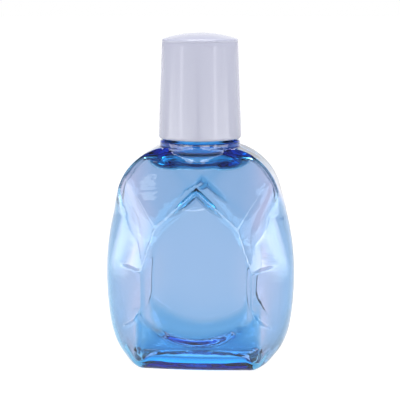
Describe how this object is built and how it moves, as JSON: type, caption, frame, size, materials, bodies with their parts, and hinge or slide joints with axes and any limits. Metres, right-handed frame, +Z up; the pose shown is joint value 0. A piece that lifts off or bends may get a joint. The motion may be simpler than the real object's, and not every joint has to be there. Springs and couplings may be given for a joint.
{
  "type": "contact lens solution bottle",
  "caption": "Small faceted clear plastic dropper bottle with a press-fit dropper nozzle and a tapered screw cap that lifts off.",
  "frame": {"origin": "centre of the base, on the surface that the bottle stands on", "axes": "+Z up through the cap, +X to the right, the front panel faces -Y"},
  "size_m": [0.0342, 0.017, 0.06],
  "materials": {
    "clear_blue_plastic": "clear, polished",
    "nozzle_plastic": "satin, milky",
    "seal_plastic": "soft satin",
    "inner_cap_plastic": "satin",
    "cap_plastic": "semi-gloss, moulded"
  },
  "bodies": {
    "bottle": {"bottle": "clear_blue_plastic", "dropper_nozzle": "nozzle_plastic"},
    "seal": {"tip_seal": "seal_plastic"},
    "cap": {"inner_cap": "inner_cap_plastic", "cap_shell": "cap_plastic"}
  },
  "joints": [
    {"name": "cap_lift", "type": "slide", "parent": "bottle", "child": "seal", "axis": [0, 0, 1], "range_m": [0, 0.0175]},
    {"name": "cap_turn", "type": "hinge", "parent": "seal", "child": "cap", "pos_m": [0, 0, 0.05], "axis": [0, 0, 1], "range_deg": [0, 1260]}
  ],
  "couplings": [
    {"joint": "cap_turn", "follows": "cap_lift", "rad_per_m": 1256.6}
  ]
}
